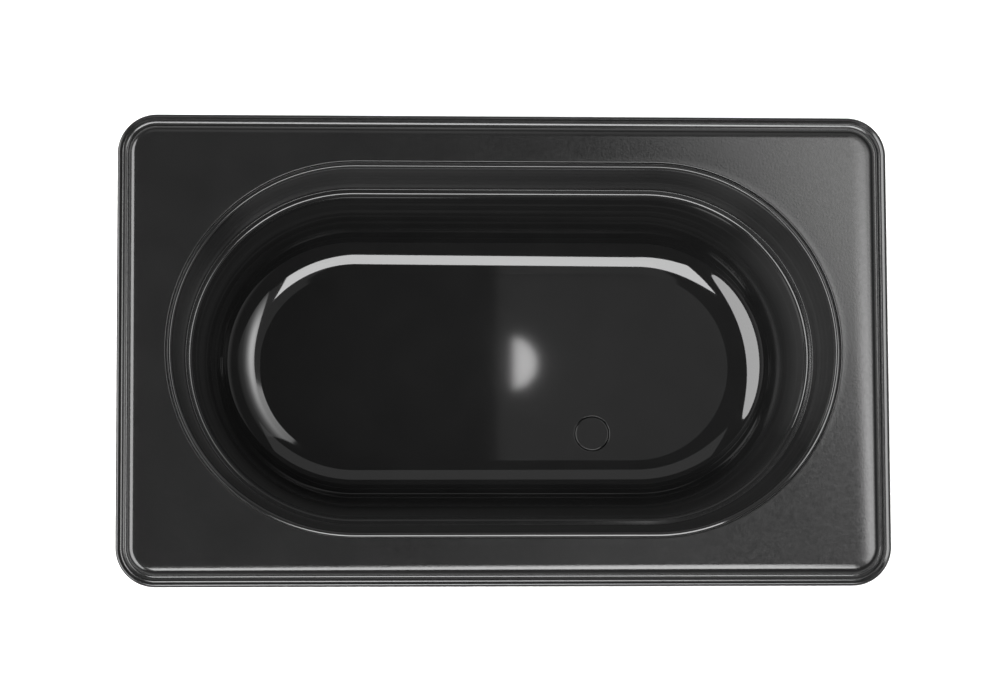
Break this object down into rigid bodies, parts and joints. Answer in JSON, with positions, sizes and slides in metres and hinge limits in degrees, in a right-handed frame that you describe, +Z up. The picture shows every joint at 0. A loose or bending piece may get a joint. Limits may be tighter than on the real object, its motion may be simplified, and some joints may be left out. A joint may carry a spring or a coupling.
{
  "type": "deli food pan",
  "caption": "Rectangular counter pan with a stepped rim, a flat deck and a deep oval-ended basin with a stacking shoulder and a lift-out drain plug in the floor.",
  "frame": {"origin": "on the table, under the middle of the pan's outline", "axes": "+X along the pan's length, +Y across its width, +Z up out of the basin"},
  "size_m": [0.265, 0.162, 0.065],
  "materials": {
    "satin_deck": "fine-grained satin black moulded plastic",
    "gloss_basin": "polished black moulded plastic with faint tooling lines",
    "gloss_plug": "polished black turned plastic",
    "seal_rubber": "black food-grade rubber"
  },
  "bodies": {
    "pan": {"deck_frame": "satin_deck", "basin": "gloss_basin", "seam_seal": "seal_rubber"},
    "plug": {"drain_plug": "gloss_plug", "plug_seal": "seal_rubber"}
  },
  "joints": [
    {"name": "plug_lift", "type": "slide", "parent": "pan", "child": "plug", "axis": [0, 0, 1], "range_m": [0, 0.07]}
  ]
}
